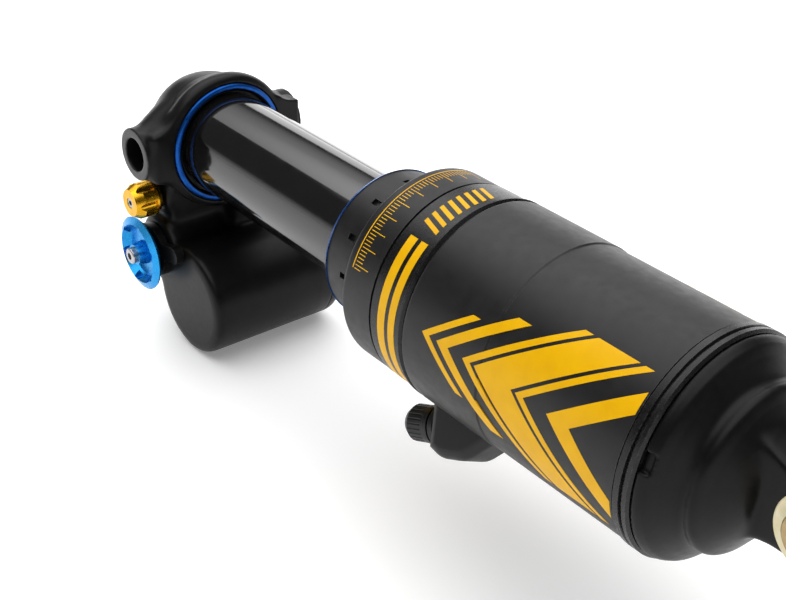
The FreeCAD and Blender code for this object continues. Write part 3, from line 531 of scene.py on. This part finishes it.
def carve_valley(cap, centre=202.4, width=2.3, depth=1.6, trim=0.5):
    """Deepens the groove between the end cap's shoulder and its boss, and slims both."""
    start, core, blend = 198, 14, 4
    for point in cap.data.vertices:
        at = point.co.x / MM + EYE_TO_TRUNNION
        from_axis = math.hypot(point.co.y, point.co.z) / MM
        if at < start or from_axis < core:
            continue
        edge = min(1.0, (from_axis - core) / blend)
        pull = depth * math.exp(-(((at - centre) / width) ** 2))
        pull += trim * min(1.0, (at - start) / 1.5)
        scale = 1 - edge * pull / from_axis
        point.co.y *= scale
        point.co.z *= scale


def end_cap_skin():
    """The end cap and its lug as one smooth forging."""
    cap = melted("end_cap_skin", "end_cap", 0.4, 45, cap_freedom)
    carve_valley(cap)
    dress(cap, "can", FINISHES["head_black"])
    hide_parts("end_cap")


# ---------------------------------------------------------------- printed marks

def wrapped(name, loops, radius_at, proud=0.05, sink=0.03, rows=()):
    """A thin raised print round the shock's axis.

    loops are closed outlines of (station, angle) points in millimetres and degrees.
    radius_at gives the surface's radius at a station. The print stands proud of it and sinks
    below it. rows are stations where the surface changes, which need vertices of their own."""
    step = 2.0
    shape = bmesh.new()
    for loop in loops:
        corners = [shape.verts.new((at, angle, 0)) for at, angle in loop]
        shape.faces.new(corners)
    bmesh.ops.triangulate(shape, faces=shape.faces[:])
    angles = [corner.co.y for corner in shape.verts]
    first, last = math.ceil(min(angles) / step), math.floor(max(angles) / step)
    planes = [((0, number * step, 0), (0, 1, 0)) for number in range(first, last + 1)]
    planes += [((at, 0, 0), (1, 0, 0)) for at in rows]
    for spot, normal in planes:
        geometry = shape.verts[:] + shape.edges[:] + shape.faces[:]
        bmesh.ops.bisect_plane(shape, geom=geometry, plane_co=spot, plane_no=normal,
                               dist=1e-5)
    for corner in shape.verts:
        corner.co.z = -sink
    raised = bmesh.ops.extrude_face_region(shape, geom=shape.faces[:])["geom"]
    for item in raised:
        if isinstance(item, bmesh.types.BMVert):
            item.co.z = proud
    for corner in shape.verts:
        angle = math.radians(corner.co.y)
        radius = radius_at(corner.co.x) + corner.co.z
        corner.co = world_point(station(corner.co.x), radius * math.cos(angle),
                                radius * math.sin(angle))
    bmesh.ops.recalc_face_normals(shape, faces=shape.faces[:])
    data = bpy.data.meshes.new(name)
    shape.to_mesh(data)
    shape.free()
    return shown(name, data)


def print_gold(name, loops, radius_at, **settings):
    """Gold marks on the can."""
    dress(wrapped(name, loops, radius_at, **settings), "can", GOLD)


def band(first, last, start, end):
    """Outline of a band between two stations and two angles."""
    return [(first, start), (last, start), (last, end), (first, end)]


def sleeve_radius(at):
    """The sleeve's printed part is lower than its lip, and the same at every station."""
    return node_radius("can_sleeve") - SLEEVE_LIP


def stripes():
    """Two gold stripes round the lower part of the sleeve."""
    start, end = 130, 410
    loops = [band(114.4, 117.0, start, end), band(118.3, 120.6, start, end)]
    print_gold("stripes", loops, sleeve_radius)


def slashes():
    """A row of slanted dashes on top of the sleeve, in line with the stripes."""
    front, back, start, pitch, lean, width = 114.6, 120.4, 80, 5.4, 3.4, 2.6
    loops = []
    for number in range(8):
        angle = start + pitch * number
        loops.append([(front, angle), (back, angle + lean), (back, angle + lean + width),
                      (front, angle + width)])
    print_gold("slashes", loops, sleeve_radius)


def scale_ticks():
    """A fine graduated scale round the top of the nose ring."""
    nose = node_radius("can_nose")
    ticks, start, pitch, width = 47, 68, 2.0, 0.42
    loops = []
    for number in range(ticks):
        angle = start + pitch * number
        reach = 108.0 if number % 5 == 0 else 105.4
        loops.append(band(103.2, reach, angle, angle + width))
    loops.append(band(102.4, 102.7, start, start + pitch * (ticks - 1) + width))
    print_gold("scale_ticks", loops, lambda at: nose, proud=0.03)


def chevron(apex, thickness, spread, middle, limit=190.1, slope=0.595):
    """A V of even thickness with its point towards the head, cut off at the can's end.

    apex, thickness and limit are in millimetres along the can. spread is half the V's angle
    about the axis in degrees, and slope is how far its arms run back for each degree."""
    outer = min(spread, (limit - apex) / slope)
    inner = min(spread, (limit - apex - thickness) / slope)
    half = [(apex + slope * outer, outer)]
    if apex + slope * outer < limit:
        half.append((min(limit, apex + thickness + slope * outer), outer))
    half.append((apex + thickness + slope * inner, inner))
    upper = [(at, middle - angle) for at, angle in half]
    lower = [(at, middle + angle) for at, angle in reversed(half)]
    unique = []
    for point in [(apex, middle)] + upper + [(apex + thickness, middle)] + lower:
        if not unique or math.dist(point, unique[-1]) > 0.01:
            unique.append(point)
    return unique


def chevrons():
    """Nested gold chevrons on both sides of the can, thick enough to bridge its step."""
    front, rear, start, end = 27.1, 26.8, 149.5, 160.0

    def radius_at(at):
        return rear + (front - rear) * min(1, max(0, (end - at) / (end - start)))

    apex_thickness_spread = (
        (130.6, 2.4, 21), (135.6, 3.8, 31), (144.4, 2.4, 42),
        (148.2, 11.4, 42), (161.0, 2.4, 42), (170.5, 6.5, 40),
    )
    for side, middle in (("left", 168), ("right", 12)):
        loops = [chevron(*shape, middle) for shape in apex_thickness_spread]
        print_gold(f"chevrons_{side}", loops, radius_at, sink=0.35, rows=(start, end))


make_camera()
make_studio()
finish_nodes()
head_skin()
end_cap_skin()
stripes()
slashes()
scale_ticks()
chevrons()
